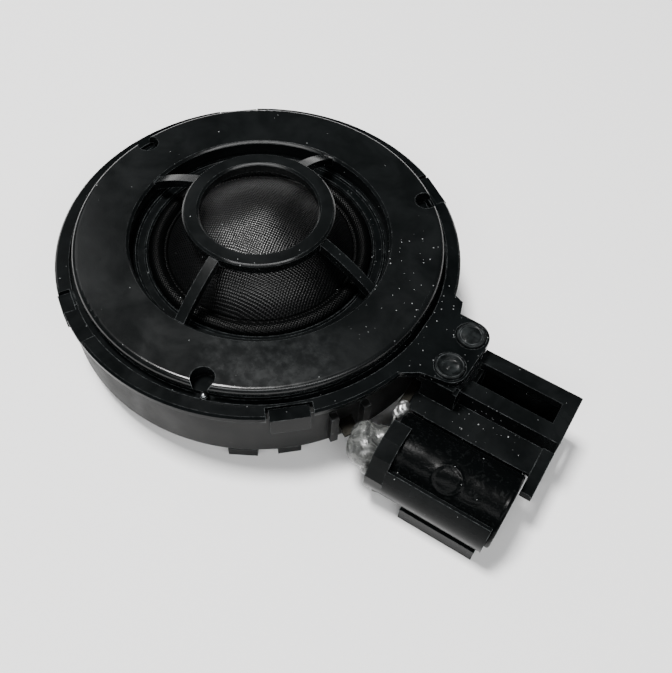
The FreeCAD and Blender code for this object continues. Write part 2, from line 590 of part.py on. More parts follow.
def make_strips():
    """Stamped brass strips: two plug blades and the feed to the winding."""
    upper, lower = number("upper_blade"), number("lower_blade")
    thick, tip = number("blade_thickness"), number("blade_tip")
    front, back = number("blade_front"), number("blade_back")
    root, tail_base = number("upper_root"), upper + number("tail_rise")
    positive = block(root, front, upper, tip, back, upper + thick)
    positive = positive.fuse(block(root, number("tail_y"), tail_base, number("tail_end"), back,
                                   tail_base + number("tail_thickness")))
    code_shape("plug_strip_positive", positive.removeSplitter())
    riser, riser_top = number("riser_start"), number("riser_top")
    negative = block(riser, front, lower, tip, back, lower + thick)
    negative = negative.fuse(block(riser, front, lower, number("riser_end"), back, riser_top))
    code_shape("plug_strip_negative", negative.removeSplitter())
    half, base, sheet_metal = number("feed_half_width"), number("feed_base"), number("feed_thickness")
    feed = block(riser, -half, base, number("feed_end"), half, base + sheet_metal)
    feed = feed.fuse(block(riser, -half, base, riser + sheet_metal, half, riser_top))
    feed = feed.removeSplitter()
    code_shape("coil_feed_strip", feed, number("feed_angle"))
    return turned(feed, number("feed_angle"))


# ---------------------------------------------------------------- capacitor

def make_capacitor():
    """Radial crossover capacitor: aluminium can, black sleeve, rubber seal, two leads."""
    can = new_body("capacitor_can")
    sleeve = new_body("capacitor_sleeve")
    seal = new_body("capacitor_seal")
    for body, corners in (
            (can, [("can_start + 1.2", "0"), ("can_start", "0"), ("can_start", "can_radius - 0.5"),
                   ("can_start + 0.3", "can_radius"), ("can_end - 0.5", "can_radius"),
                   ("can_end", "can_radius - 0.5"), ("can_end", "0")]),
            (sleeve, [("can_start - 0.1", "can_radius + 0.01"),
                      ("can_end - 0.05", "can_radius + 0.01"), ("can_end + 0.05", "can_radius - 0.5"),
                      ("can_end + 0.05", "can_radius - 1.3"), ("can_end + 0.25", "can_radius - 1.3"),
                      ("can_end + 0.25", "can_radius - 0.35"),
                      ("can_end - 0.1", "can_radius + sleeve_skin"),
                      ("can_start - 0.1", "can_radius + sleeve_skin")]),
            (seal, [("can_start - 0.45", "0"), ("can_start - %s" % GAP, "0"),
                    ("can_start - %s" % GAP, "3.9"), ("can_start - 0.2", "4.1"),
                    ("can_start - 0.45", "3.8")])):
        sketch = sketch_on(body, "XY_Plane")
        draw_outline(sketch, corners)
        feature(body, "Revolution", sketch, ReferenceAxis=(sketch, ["H_Axis"]), Angle=360.0)
        place(body, 0, "cap_y", "cap_z")
    y, z, x = number("cap_y"), number("cap_z"), number("can_start") - 0.47
    near = round_wire([(x, y + 1.9, z), (28.3, y + 1.9, z), (27.85, -10.7, z + 0.9),
                       (27.85, -10.35, -3.45), (27.85, -9.3, -3.45)], 0.3)
    far = round_wire([(x, y - 1.9, z), (28.2, y - 1.9, z), (26.6, -16.6, -3.65), (25.4, -15.6, -3.65)],
                     0.3)
    code_shape("capacitor_lead_near", near)
    code_shape("capacitor_lead_far", far)
    return near, far


def make_glue_and_solder(feed, near, far):
    """Set drops of hot melt and solder, hollowed where the metal passes through them."""
    case = Part.makeCylinder(number("wall_radius") + 0.02, 20, FreeCAD.Vector(0, 0, -15))
    ribs = [turned(block(26.0, -0.52, -7.1, 28.2, 0.52, -1.3), angle) for angle in RIB_ANGLES]
    keep_left = block(10, -30, -7.28, number("hook_start") - 0.02, 0, 3)
    drops = [drop(*shape) for shape in MELT_DROPS]
    melt = drops[0].multiFuse(drops[1:])
    melt = melt.common(keep_left).cut(case)
    melt = melt.cut(Part.makeCompound(ribs + [feed, near, far]))
    seal_zone = Part.makeCylinder(5.0, 4.0, FreeCAD.Vector(28.6, number("cap_y"), number("cap_z")),
                                  FreeCAD.Vector(1, 0, 0))
    melt = melt.cut(seal_zone)
    code_shape("hot_melt_bead", max(melt.Solids, key=lambda solid: solid.Volume))
    solder = drop(*SOLDER_DROP)
    solder = solder.cut(block(26, -12, -6, 30, -8, number("upper_blade") + 0.82))
    solder = solder.cut(near)
    code_shape("solder_joint", max(solder.Solids, key=lambda solid: solid.Volume))


make_front_ring()
make_carrier()
make_heat_stakes()
make_locating_pin()
make_rear_case()
make_motor()
make_moving_parts()
make_lead_out_wires()
make_arm()
make_socket()
feed_strip = make_strips()
near_lead, far_lead = make_capacitor()
make_glue_and_solder(feed_strip, near_lead, far_lead)
doc.recompute()

# ---------------------------------------------------------------- check and write

NODES = (
    "front_guard_ring", "carrier_flange", "heat_stake_domed", "heat_stake_hollow", "locating_pin",
    "rear_case", "magnet_disc", "pole_plate", "damping_felt", "steel_pot", "surround_clamp_ring",
    "soft_dome", "coil_former", "coil_winding", "surround_roll", "lead_out_wire_negative",
    "lead_out_wire_positive", "arm_bracket", "socket_shroud", "plug_strip_positive",
    "plug_strip_negative", "coil_feed_strip", "capacitor_can", "capacitor_sleeve",
    "capacitor_seal", "capacitor_lead_near", "capacitor_lead_far", "hot_melt_bead", "solder_joint",
)
for item in doc.Objects:
    if "Invalid" in item.State or "Error" in item.State:
        raise RuntimeError("%s has failed: %s" % (item.Label, item.State))
os.makedirs("parts", exist_ok=True)
for name in NODES:
    shape = doc.getObjectsByLabel(name)[0].Shape
    if shape.isNull() or not shape.isValid() or not shape.Solids:
        raise RuntimeError("%s has no valid solid" % name)
    shape.exportStep("parts/%s.step" % name)
    box = shape.BoundBox
    print("%-24s solids %d volume %9.2f  x %6.2f %6.2f  y %6.2f %6.2f  z %6.2f %6.2f" % (
        name, len(shape.Solids), shape.Volume, box.XMin, box.XMax, box.YMin, box.YMax,
        box.ZMin, box.ZMax))
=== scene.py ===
import json
import math

import bmesh
import bpy
from mathutils import Matrix, Vector, noise


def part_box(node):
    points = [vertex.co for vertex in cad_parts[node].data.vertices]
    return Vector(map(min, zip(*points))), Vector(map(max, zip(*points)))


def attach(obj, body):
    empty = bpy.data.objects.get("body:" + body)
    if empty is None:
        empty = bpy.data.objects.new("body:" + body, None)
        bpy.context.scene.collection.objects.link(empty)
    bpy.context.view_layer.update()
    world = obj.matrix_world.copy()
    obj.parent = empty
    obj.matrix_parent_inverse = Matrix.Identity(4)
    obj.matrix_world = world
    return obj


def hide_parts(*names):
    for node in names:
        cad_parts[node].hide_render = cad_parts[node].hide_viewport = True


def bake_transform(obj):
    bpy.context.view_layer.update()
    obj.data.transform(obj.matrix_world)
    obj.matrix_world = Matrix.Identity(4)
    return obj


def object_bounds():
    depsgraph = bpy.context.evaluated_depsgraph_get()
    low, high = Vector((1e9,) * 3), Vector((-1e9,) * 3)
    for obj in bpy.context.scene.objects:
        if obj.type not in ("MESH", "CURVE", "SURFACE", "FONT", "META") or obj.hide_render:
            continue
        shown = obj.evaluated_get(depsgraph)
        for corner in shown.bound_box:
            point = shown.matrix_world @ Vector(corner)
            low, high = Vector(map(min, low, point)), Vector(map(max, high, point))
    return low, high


# Looks of a car tweeter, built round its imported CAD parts. Helpers take millimetres in the
# part's frame: +Z is the way the dome faces, +X runs out along the arm.

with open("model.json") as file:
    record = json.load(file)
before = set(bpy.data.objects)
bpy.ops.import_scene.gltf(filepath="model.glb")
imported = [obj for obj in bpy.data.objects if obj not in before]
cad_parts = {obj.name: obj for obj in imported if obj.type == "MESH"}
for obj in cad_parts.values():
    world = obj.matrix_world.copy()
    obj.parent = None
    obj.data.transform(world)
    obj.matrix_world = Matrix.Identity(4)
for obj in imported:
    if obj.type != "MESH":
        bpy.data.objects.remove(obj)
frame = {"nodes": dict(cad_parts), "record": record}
cad_low, cad_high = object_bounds()
MM = 0.001
STEPS = 192          # divisions round a turned piece
SLEEVE_STEPS = 288   # divisions round the sleeve, which carries the moulded ring
EDGE_ANGLE = 23.0    # sharper edges than this get a small round
CLOTH = 0.25         # thickness of the dome's and the surround's cloth

# camera, in metres: its place, its way of looking and its right-hand side
CAMERA_PLACE = (0.04380, -0.05813, 0.09665)
CAMERA_FORWARD = (-0.2648, 0.4959, -0.8270)
CAMERA_RIGHT = (0.8499, 0.5252, 0.0428)
CAMERA_LENS = 42.91
SENSOR_WIDTH = 36.0

# name, azimuth, elevation, distance, width, height, power and tint of each light
LIGHTS = (("key", -170, 76, 0.6, 0.13, 0.13, 7.6, (1.0, 0.99, 0.98)),
          ("camera_side", -55, 50, 0.75, 1.0, 0.14, 5.0, (1, 1, 1)),
          ("left_panel", 165, 44, 0.9, 0.4, 0.2, 0.5, (1, 1, 1)),
          ("horizon", 127, 6, 0.7, 0.9, 0.09, 0.35, (1, 1, 1)))
LIGHT_TARGET = (0.005, 0.0, 0.01)
ROOM_LIGHT = 0.035   # strength of the room as a light
ROOM_SEEN = 0.8      # strength of the room where it is seen directly
FLOOR_HALF = 3.0     # half the floor's side, in metres
FLOOR_GAP = 0.0001   # the floor lies this far below the part, in metres

# colour and width of the lighter hard edges: partly real edge wear, partly a painted highlight for
# the thin bright lines that light leaves on edges
EDGE_WEAR_AND_HIGHLIGHT = (0.085, 0.092, 0.094)
EDGE_WEAR_AND_HIGHLIGHT_WIDTH = 0.17
DUST = (0.2, 0.21, 0.21)
LINT = (0.3, 0.32, 0.32)

# CAD node, name of its rounded copy, slot and width of the round in millimetres
MOULDINGS = (("front_guard_ring", "front_ring_moulding", "front_plastic", 0.09),
             ("carrier_flange", "carrier_moulding", "carrier_plastic", 0.07),
             ("rear_case", "rear_case_moulding", "case_plastic", 0.1),
             ("arm_bracket", "arm_moulding", "arm_plastic", 0.07),
             ("socket_shroud", "socket_moulding", "arm_plastic", 0.08))
ROUND_SEGMENTS = 2


def corner_mm(node):
    """Lowest and highest corner of a CAD node, in millimetres."""
    low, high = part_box(node)
    return low / MM, high / MM


# ---------------------------------------------------------------- camera, floor and light

def make_camera():
    data = bpy.data.cameras.new("camera")
    data.sensor_width, data.lens = SENSOR_WIDTH, CAMERA_LENS
    data.clip_start, data.clip_end = 0.002, 20.0
    camera = bpy.data.objects.new("camera", data)
    bpy.context.scene.collection.objects.link(camera)
    forward = Vector(CAMERA_FORWARD).normalized()
    right = Vector(CAMERA_RIGHT).normalized()
    up = right.cross(forward).normalized()
    turn = Matrix((right, up, -forward)).transposed().to_4x4()
    camera.matrix_world = Matrix.Translation(CAMERA_PLACE) @ turn
    bpy.context.scene.camera = camera


def softbox(name, azimuth, elevation, distance, width, height, power, tint):
    """An area light aimed at the object; azimuth is counted from +X towards +Y."""
    data = bpy.data.lights.new(name, "AREA")
    data.shape, data.size, data.size_y = "RECTANGLE", width, height
    data.energy, data.color = power, tint
    lamp = bpy.data.objects.new(name, data)
    a, e = math.radians(azimuth), math.radians(elevation)
    away = Vector((math.cos(a) * math.cos(e), math.sin(a) * math.cos(e), math.sin(e)))
    lamp.location = Vector(LIGHT_TARGET) + away * distance
    lamp.rotation_mode = "QUATERNION"
    lamp.rotation_quaternion = away.to_track_quat("Z", "Y")
    bpy.context.scene.collection.objects.link(lamp)


def make_studio():
    world = bpy.data.worlds.new("studio")
    world.use_nodes = True
    tree = world.node_tree
    dim = tree.nodes["Background"]
    dim.inputs["Color"].default_value = (0.9, 0.96, 1.0, 1.0)
    dim.inputs["Strength"].default_value = ROOM_LIGHT
    # seen directly, the room is nearly as pale as the floor; as a light it stays dim
    pale = tree.nodes.new("ShaderNodeBackground")
    pale.inputs["Color"].default_value = (1.0, 1.0, 1.0, 1.0)
    pale.inputs["Strength"].default_value = ROOM_SEEN
    path, mix = tree.nodes.new("ShaderNodeLightPath"), tree.nodes.new("ShaderNodeMixShader")
    tree.links.new(path.outputs["Is Camera Ray"], mix.inputs[0])
    tree.links.new(dim.outputs[0], mix.inputs[1])
    tree.links.new(pale.outputs[0], mix.inputs[2])
    tree.links.new(mix.outputs[0], tree.nodes["World Output"].inputs[0])
    bpy.context.scene.world = world
    for light in LIGHTS:
        softbox(*light)
    mesh = bpy.data.meshes.new("floor")
    half = FLOOR_HALF
    mesh.from_pydata([(-half, -half, 0), (half, -half, 0), (half, half, 0), (-half, half, 0)],
                     [], [(0, 1, 2, 3)])
    floor = bpy.data.objects.new("floor", mesh)
    bpy.context.scene.collection.objects.link(floor)
    floor.location.z = cad_low.z - FLOOR_GAP
    paint = Finish("floor_paint")
    grain = paint.noise(0.8, detail=3)
    paint.set("Base Color", paint.mix(grain, (0.9, 0.9, 0.9), (0.93, 0.93, 0.93)))
    paint.shader.inputs["Roughness"].default_value = 0.9
    paint.shader.inputs["Specular IOR Level"].default_value = 0.1
    mesh.materials.append(paint.material)


# ---------------------------------------------------------------- materials

class Finish:
    """A node material. Sizes of patterns are in millimetres of the part's own frame."""

    def __init__(self, name):
        self.material = bpy.data.materials.new(name)
        self.material.use_nodes = True
        self.tree = self.material.node_tree
        self.tree.nodes.clear()
        self.shader = self.tree.nodes.new("ShaderNodeBsdfPrincipled")
        output = self.tree.nodes.new("ShaderNodeOutputMaterial")
        self.join(self.shader.outputs[0], output.inputs[0])
        place = self.tree.nodes.new("ShaderNodeTexCoord")
        self.place = self.vector("SCALE", place.outputs["Object"], scale=1.0 / MM)

    def join(self, source, target):
        """Sets a socket to a number or a colour, or links it to another node's output."""
        if isinstance(source, (int, float)):
            target.default_value = source
        elif isinstance(source, tuple):
            target.default_value = (*source, 1.0) if target.type == "RGBA" else source
        else:
            self.tree.links.new(source, target)

    def set(self, socket, source):
        self.join(source, self.shader.inputs[socket])

    def vector(self, operation, first, second=None, scale=None):
        node = self.tree.nodes.new("ShaderNodeVectorMath")
        node.operation = operation
        self.join(first, node.inputs[0])
        if second is not None:
            self.join(second, node.inputs[1])
        if scale is not None:
            node.inputs["Scale"].default_value = scale
        single = operation in ("LENGTH", "DISTANCE", "DOT_PRODUCT")
        return node.outputs["Value" if single else "Vector"]

    def math(self, operation, first, second=0.0, clamp=False):
        node = self.tree.nodes.new("ShaderNodeMath")
        node.operation, node.use_clamp = operation, clamp
        self.join(first, node.inputs[0])
        self.join(second, node.inputs[1])
        return node.outputs[0]

    def split(self, vector):
        node = self.tree.nodes.new("ShaderNodeSeparateXYZ")
        self.join(vector, node.inputs[0])
        return node.outputs

    def noise(self, size, detail=2.0, rough=0.5, warp=0.0, stretch=None, shift=0.0):
        """Fractal noise from 0 to 1 whose blotches are about size across."""
        node = self.tree.nodes.new("ShaderNodeTexNoise")
        place = self.place
        if shift:
            place = self.vector("ADD", place, (shift, shift, shift))
        if stretch:
            place = self.vector("MULTIPLY", place, stretch)
        self.join(place, node.inputs["Vector"])
        node.inputs["Scale"].default_value = 1.0 / size
        node.inputs["Detail"].default_value = detail
        node.inputs["Roughness"].default_value = rough
        node.inputs["Distortion"].default_value = warp
        return node.outputs["Fac"]

    def span(self, value, low, high, to_low=0.0, to_high=1.0, smooth=True):
        """Value from low..high onto to_low..to_high, held at the ends."""
        node = self.tree.nodes.new("ShaderNodeMapRange")
        node.interpolation_type = "SMOOTHSTEP" if smooth else "LINEAR"
        self.join(value, node.inputs["Value"])
        for key, number in (("From Min", low), ("From Max", high),
                            ("To Min", to_low), ("To Max", to_high)):
            self.join(number, node.inputs[key])
        return node.outputs["Result"]

    def mix(self, share, first, second):
        node = self.tree.nodes.new("ShaderNodeMix")
        node.data_type = "RGBA"
        self.join(share, node.inputs[0])
        self.join(first, node.inputs[6])
        self.join(second, node.inputs[7])
        return node.outputs[2]

    def specks(self, spacing, radius, kept, shift=0.0):
        """Small round specks: one cell per spacing, of which the share kept holds one."""
        node = self.tree.nodes.new("ShaderNodeTexVoronoi")
        place = self.vector("ADD", self.place, (shift, 2 * shift, 3 * shift))
        self.join(place, node.inputs["Vector"])
        node.inputs["Scale"].default_value = 1.0 / spacing
        chance = self.split(node.outputs["Color"])
        lucky = self.math("LESS_THAN", chance[0], kept)
        size = self.span(chance[1], 0, 1, 0.35 * radius / spacing, radius / spacing, False)
        near = self.math("LESS_THAN", node.outputs["Distance"], size)
        return self.math("MULTIPLY", lucky, near)

    def region(self, centre, reach, edge):
        """1 within reach of a centre, fading to 0 over the edge."""
        away = self.vector("DISTANCE", self.place, centre)
        return self.span(away, reach, reach + edge, 1.0, 0.0)

    def edges(self, width):
        """1 along the hard edges of the shape and 0 on its flat faces."""
        rounded = self.tree.nodes.new("ShaderNodeBevel")
        rounded.samples = 4
        rounded.inputs["Radius"].default_value = width * MM
        face = self.tree.nodes.new("ShaderNodeNewGeometry").outputs["True Normal"]
        turn = self.vector("DOT_PRODUCT", rounded.outputs[0], face)
        return self.span(turn, 0.78, 0.97, 1.0, 0.0)

    def bump(self, height, depth, under=None):
        """A relief of that depth in millimetres, laid over another one."""
        node = self.tree.nodes.new("ShaderNodeBump")
        node.inputs["Strength"].default_value = 1.0
        node.inputs["Distance"].default_value = depth * MM
        self.join(height, node.inputs["Height"])
        if under is not None:
            self.join(under, node.inputs["Normal"])
        return node.outputs["Normal"]


def plastic(name, dark, pale, rough=(0.2, 0.3), shine=0.3, grain=0.003, dust=0.1, smudge=0.5,
            smears=None, dusty=None):
    """Moulded near-black plastic: cloudy film, fine grain, finger smudges, dust specks and lighter
    edges that are partly wear and partly painted highlight.

    smears and dusty are (centre, reach, edge) of patches with more smudges or more dust.
    """
    finish = Finish(name)
    film = finish.noise(6.0, detail=4, rough=0.6, warp=0.4)
    mottle = finish.noise(1.2, detail=4, rough=0.6, warp=0.2, shift=11)
    blot = finish.span(mottle, 0.36, 0.8)
    patch = finish.region(*smears) if smears else 0.12
    marks = finish.math("MULTIPLY", finish.math("MULTIPLY", blot, patch), smudge, clamp=True)
    base = finish.mix(finish.span(film, 0.3, 0.7), dark, pale)
    base = finish.mix(marks, base, tuple(3.0 * c for c in pale))
    # hard edges painted lighter in patches: partly rubbed wear, partly a painted highlight along
    # the edges
    edge_patches = finish.span(finish.noise(0.9, detail=4, rough=0.65, shift=17), 0.4, 0.62, 0.15, 1.0)
    rubbed_and_lit_edges = finish.math("MULTIPLY", finish.edges(EDGE_WEAR_AND_HIGHLIGHT_WIDTH), edge_patches)
    base = finish.mix(rubbed_and_lit_edges, base, EDGE_WEAR_AND_HIGHLIGHT)
    fine = finish.specks(0.7, 0.085, dust)
    coarse = finish.specks(2.3, 0.13, dust, shift=5)
    specks = finish.math("MAXIMUM", fine, coarse)
    if dusty:
        more = finish.math("MULTIPLY", finish.specks(0.7, 0.1, 0.8, shift=9),
                           finish.region(*dusty))
        specks = finish.math("MAXIMUM", specks, more)
    base = finish.mix(specks, base, DUST)
    finish.set("Base Color", base)
    finish.shader.inputs["Specular IOR Level"].default_value = shine
    gloss = finish.span(film, 0.25, 0.75, rough[0], rough[1])
    gloss = finish.math("ADD", gloss, finish.math("MULTIPLY", marks, 0.22))
    gloss = finish.math("ADD", gloss, finish.math("MULTIPLY", specks, 0.4), clamp=True)
    finish.set("Roughness", gloss)
    texture = finish.bump(finish.noise(0.16, detail=3, rough=0.7), grain)
    texture = finish.bump(finish.noise(3.0, detail=2, shift=3), 0.01, texture)
    finish.set("Normal", finish.bump(specks, 0.02, texture))
    return finish.material


def cloth(name, dark, pale, pitch=0.33, turn=12.0, relief=0.036, shine=0.31, gloss=(0.15, 0.38)):
    """Plain weave seen from the front: crossing yarns whose crowns are glossy with resin."""
    finish = Finish(name)
    axes = finish.split(finish.place)
    c, s = math.cos(math.radians(turn)) / pitch, math.sin(math.radians(turn)) / pitch
    wander = finish.math("MULTIPLY", finish.noise(3.0, detail=2, shift=4), 1.2)
    humps = []
    for x_share, y_share in ((c, s), (-s, c)):
        plane = finish.math("ADD", finish.math("MULTIPLY", axes[0], x_share),
                            finish.math("MULTIPLY", axes[1], y_share))
        axis = finish.math("ADD", plane, wander)
        wave = finish.math("SINE", finish.math("MULTIPLY", axis, math.pi))
        humps.append(finish.math("POWER", finish.math("ABSOLUTE", wave), 0.8))
    yarns = finish.math("MULTIPLY", humps[0], humps[1])
    slub = finish.noise(0.5, detail=3, rough=0.7)
    # colour follows the weave's relief: painted highlight on the yarn crowns and painted shade in
    # the valleys between them
    colour = finish.mix(finish.math("MULTIPLY", yarns, finish.span(slub, 0.3, 0.7)), dark, pale)
    lint = finish.specks(1.6, 0.09, 0.10)
    finish.set("Base Color", finish.mix(lint, colour, LINT))
    crown = finish.math("MULTIPLY", finish.span(yarns, 0.45, 0.85),
                        finish.span(slub, 0.25, 0.6, 0.4, 1.0))
    finish.set("Roughness", finish.span(crown, 0.0, 1.0, gloss[1], gloss[0], False))
    finish.shader.inputs["Specular IOR Level"].default_value = shine
    finish.set("Normal", finish.bump(yarns, relief))
    return finish.material


def metal(name, colour, rough, brushed=(1, 1, 1), size=0.6, tarnish=(0.5, 0.6),
          tarnish_colour=None):
    """Bare metal with brushing, small pits and tarnish."""
    finish = Finish(name)
    streaks = finish.noise(size, detail=4, rough=0.6, stretch=brushed)
    stain = finish.span(finish.noise(2.2, detail=4, rough=0.6, shift=6), *tarnish)
    dull = tarnish_colour or tuple(0.55 * c for c in colour)
    base = finish.mix(streaks, tuple(0.85 * c for c in colour), colour)
    finish.set("Base Color", finish.mix(stain, base, dull))
    finish.shader.inputs["Metallic"].default_value = 1.0
    gloss = finish.span(streaks, 0.2, 0.8, rough * 0.75, rough * 1.25)
    finish.set("Roughness", finish.math("ADD", gloss, finish.math("MULTIPLY", stain, 0.15)))
    finish.set("Normal", finish.bump(streaks, 0.01))
    return finish.material


def fibre_felt(name):
    """Matted hairs, rough and pale on their tips."""
    finish = Finish(name)
    hairs = finish.noise(0.35, detail=6, rough=0.8, warp=1.5)
    finish.set("Base Color", finish.mix(hairs, (0.05, 0.05, 0.048), (0.2, 0.195, 0.18)))
    finish.shader.inputs["Roughness"].default_value = 0.95
    finish.shader.inputs["Sheen Weight"].default_value = 0.4
    finish.set("Normal", finish.bump(hairs, 0.12))
    return finish.material


def shrink_film(name):
    """Glossy black heat-shrunk sleeve with ripples, scuffs and a dusty film."""
    finish = Finish(name)
    ripple = finish.noise(1.5, detail=4, rough=0.6, warp=0.6, stretch=(0.6, 1, 1))
    scuff = finish.span(finish.noise(0.7, detail=6, rough=0.7, warp=1.2, shift=8), 0.52, 0.66)
    specks = finish.specks(0.8, 0.1, 0.14)
    film = finish.mix(finish.math("MULTIPLY", scuff, 0.5), (0.0012, 0.0015, 0.0016),
                      (0.007, 0.008, 0.008))
    finish.set("Base Color", finish.mix(specks, film, LINT))
    finish.shader.inputs["Specular IOR Level"].default_value = 0.035
    gloss = finish.span(scuff, 0, 1, 0.24, 0.5)
    finish.set("Roughness", finish.math("ADD", gloss, finish.math("MULTIPLY", specks, 0.4)))
    relief = finish.bump(ripple, 0.07)
    finish.set("Normal", finish.bump(finish.noise(0.3, detail=3, rough=0.7), 0.008, relief))
    return finish.material


def set_glue(name):
    """Hot-melt adhesive: milky, glossy, a little see-through, with clouds and fine bubbles."""
    finish = Finish(name)
    cloud = finish.noise(1.4, detail=5, rough=0.6, warp=1.0)
    bubbles = finish.specks(0.5, 0.12, 0.35)
    soot = finish.span(finish.noise(0.9, detail=5, rough=0.7, warp=0.5, shift=14), 0.56, 0.72)
    base = finish.mix(finish.span(cloud, 0.35, 0.65), (0.025, 0.026, 0.026), (0.1, 0.104, 0.1))
    base = finish.mix(finish.math("MULTIPLY", soot, 0.8), base, (0.01, 0.011, 0.011))
    base = finish.mix(finish.math("MULTIPLY", bubbles, 0.5), base, (0.3, 0.3, 0.29))
    finish.set("Base Color", base)
    finish.set("Roughness", finish.span(cloud, 0.3, 0.7, 0.14, 0.34))
    finish.shader.inputs["Subsurface Weight"].default_value = 0.35
    finish.shader.inputs["Subsurface Radius"].default_value = (0.0012, 0.0012, 0.0011)
    finish.shader.inputs["Subsurface Scale"].default_value = 1.0
    relief = finish.bump(cloud, 0.07)
    finish.set("Normal", finish.bump(bubbles, 0.03, relief))
    return finish.material


def make_materials():
    """One finish per material slot of the record."""
    black, soot = (0.0015, 0.0019, 0.0020), (0.0030, 0.0037, 0.0039)
    return {
        "front_plastic": plastic("front_plastic", (0.0022, 0.0027, 0.0028),
                                 (0.0040, 0.0048, 0.0050), (0.18, 0.27), 0.32, smudge=0.36,
                                 smears=((13.0, -17.0, 14.6), 5.0, 7.0),
                                 dusty=((21.5, 4.0, 14.6), 4.0, 9.0)),
        "carrier_plastic": plastic("carrier_plastic", black, soot, (0.18, 0.28), 0.05,
                                   dusty=((29.0, 0.0, 12.6), 5.0, 4.0)),
        "case_plastic": plastic("case_plastic", (0.0026, 0.0029, 0.0029), (0.007, 0.0074, 0.0072),
                                (0.4, 0.54), 0.09, grain=0.012, dust=0.03, smudge=0.7),
        "arm_plastic": plastic("arm_plastic", (0.0022, 0.0027, 0.0028),
                               (0.0055, 0.0063, 0.0065), (0.2, 0.3), 0.06,
                               dust=0.14, smudge=1.0, smears=((31.2, -0.9, 12.8), 4.5, 0.8),
                               dusty=((38.0, -6.5, 7.0), 1.0, 4.5)),
        "clamp_plastic": plastic("clamp_plastic", black, soot, (0.2, 0.3), 0.08,
                                 dusty=((13.0, 9.0, 12.0), 7.0, 5.0)),
        "bright_pin": metal("bright_pin", (0.22, 0.23, 0.24), 0.14),
        "nickel_magnet": metal("nickel_magnet", (0.6, 0.61, 0.62), 0.25),
        "plated_steel": metal("plated_steel", (0.5, 0.5, 0.49), 0.35, (1, 1, 6)),
        "felt": fibre_felt("felt"),
        "copper": metal("copper", (0.72, 0.32, 0.18), 0.3, (1, 1, 9), 0.3),
        # near-black colour is painted shade for strips that sit deep in the socket, not the
        # metal's own colour
        "brass_strip": metal("brass_strip", (0.02, 0.019, 0.016), 0.5, (1, 6, 6)),
        "can_aluminium": metal("can_aluminium", (0.66, 0.67, 0.68), 0.3, (8, 1, 1)),
        "sleeve_film": shrink_film("sleeve_film"),
        "seal_rubber": plastic("seal_rubber", (0.006, 0.0062, 0.0062), (0.012, 0.012, 0.012),
                               (0.6, 0.8), 0.3, grain=0.02, dust=0.2),
        "tinned_wire": metal("tinned_wire", (0.5, 0.51, 0.5), 0.3),
        "hot_melt": set_glue("hot_melt"),
        "solder": metal("solder", (0.8, 0.81, 0.81), 0.38, size=0.5, tarnish=(0.6, 0.8),
                        tarnish_colour=(0.35, 0.36, 0.36)),
        "dome_cloth": cloth("dome_cloth", (0.0005, 0.0006, 0.0007), (0.0026, 0.003, 0.0031)),
        "surround_cloth": cloth("surround_cloth", (0.0004, 0.0005, 0.0005),
                                (0.0014, 0.0016, 0.0017), shine=0.06),
        "former_aluminium": metal("former_aluminium", (0.6, 0.61, 0.62), 0.35, (1, 1, 8)),
    }


# ---------------------------------------------------------------- shape helpers

def new_object(name, mesh):
    """An object that shows the mesh, linked to the scene."""
    item = bpy.data.objects.new(name, mesh)
    bpy.context.scene.collection.objects.link(item)
    return item


def smooth_faces(mesh):
    mesh.polygons.foreach_set("use_smooth", [True] * len(mesh.polygons))


def baked(item):
    """Applies the modifiers of an object to its mesh."""
    graph = bpy.context.evaluated_depsgraph_get()
    mesh = bpy.data.meshes.new_from_object(item.evaluated_get(graph))
    item.modifiers.clear()
    item.data = mesh


def softened(node, name, width):
    """A copy of a CAD part in which every hard edge is rounded a little, as a mould leaves it."""
    mesh = frame["nodes"][node].data.copy()
    shape = bmesh.new()
    shape.from_mesh(mesh)
    bmesh.ops.remove_doubles(shape, verts=shape.verts, dist=2e-6)
    bmesh.ops.dissolve_limit(shape, angle_limit=math.radians(0.5), verts=shape.verts,
                             edges=shape.edges)
    shape.to_mesh(mesh)
    shape.free()
    mesh.materials.clear()
    item = new_object(name, mesh)
    smooth_faces(mesh)
    bevel = item.modifiers.new("round", "BEVEL")
    bevel.width, bevel.segments = width * MM, ROUND_SEGMENTS
    bevel.limit_method, bevel.angle_limit = "ANGLE", math.radians(EDGE_ANGLE)
    bevel.use_clamp_overlap = True
    weigh = item.modifiers.new("flat_faces", "WEIGHTED_NORMAL")
    weigh.mode, weigh.weight, weigh.keep_sharp = "FACE_AREA", 80, False
    return item


def lathe(name, profile, steps=STEPS, centre=(0, 0, 0), along=(0, 0, 1), closed=False):
    """A turned piece from (radius, height) points in millimetres, along an axis through centre."""
    turn = Vector(along).to_track_quat("Z", "Y").to_matrix()
    centre = Vector(centre)
    verts, rings = [], []
    for radius, height in profile:
        if radius < 1e-6:
            rings.append([len(verts)] * steps)
            verts.append((centre + turn @ Vector((0, 0, height))) * MM)
            continue
        rings.append(list(range(len(verts), len(verts) + steps)))
        for i in range(steps):
            a = 2 * math.pi * i / steps
            verts.append((centre + turn @ Vector((radius * math.cos(a), radius * math.sin(a),
                                                  height))) * MM)
    faces = []
    pairs = list(zip(rings, rings[1:])) + ([(rings[-1], rings[0])] if closed else [])
    for low, high in pairs:
        for i in range(steps):
            j = (i + 1) % steps
            corners = []
            for index in (low[i], low[j], high[j], high[i]):
                if index not in corners:
                    corners.append(index)
            if len(corners) > 2:
                faces.append(corners)
    mesh = bpy.data.meshes.new(name)
    mesh.from_pydata(verts, [], faces)
    shape = bmesh.new()
    shape.from_mesh(mesh)
    bmesh.ops.recalc_face_normals(shape, faces=shape.faces)
    shape.to_mesh(mesh)
    shape.free()
    smooth_faces(mesh)
    return new_object(name, mesh)


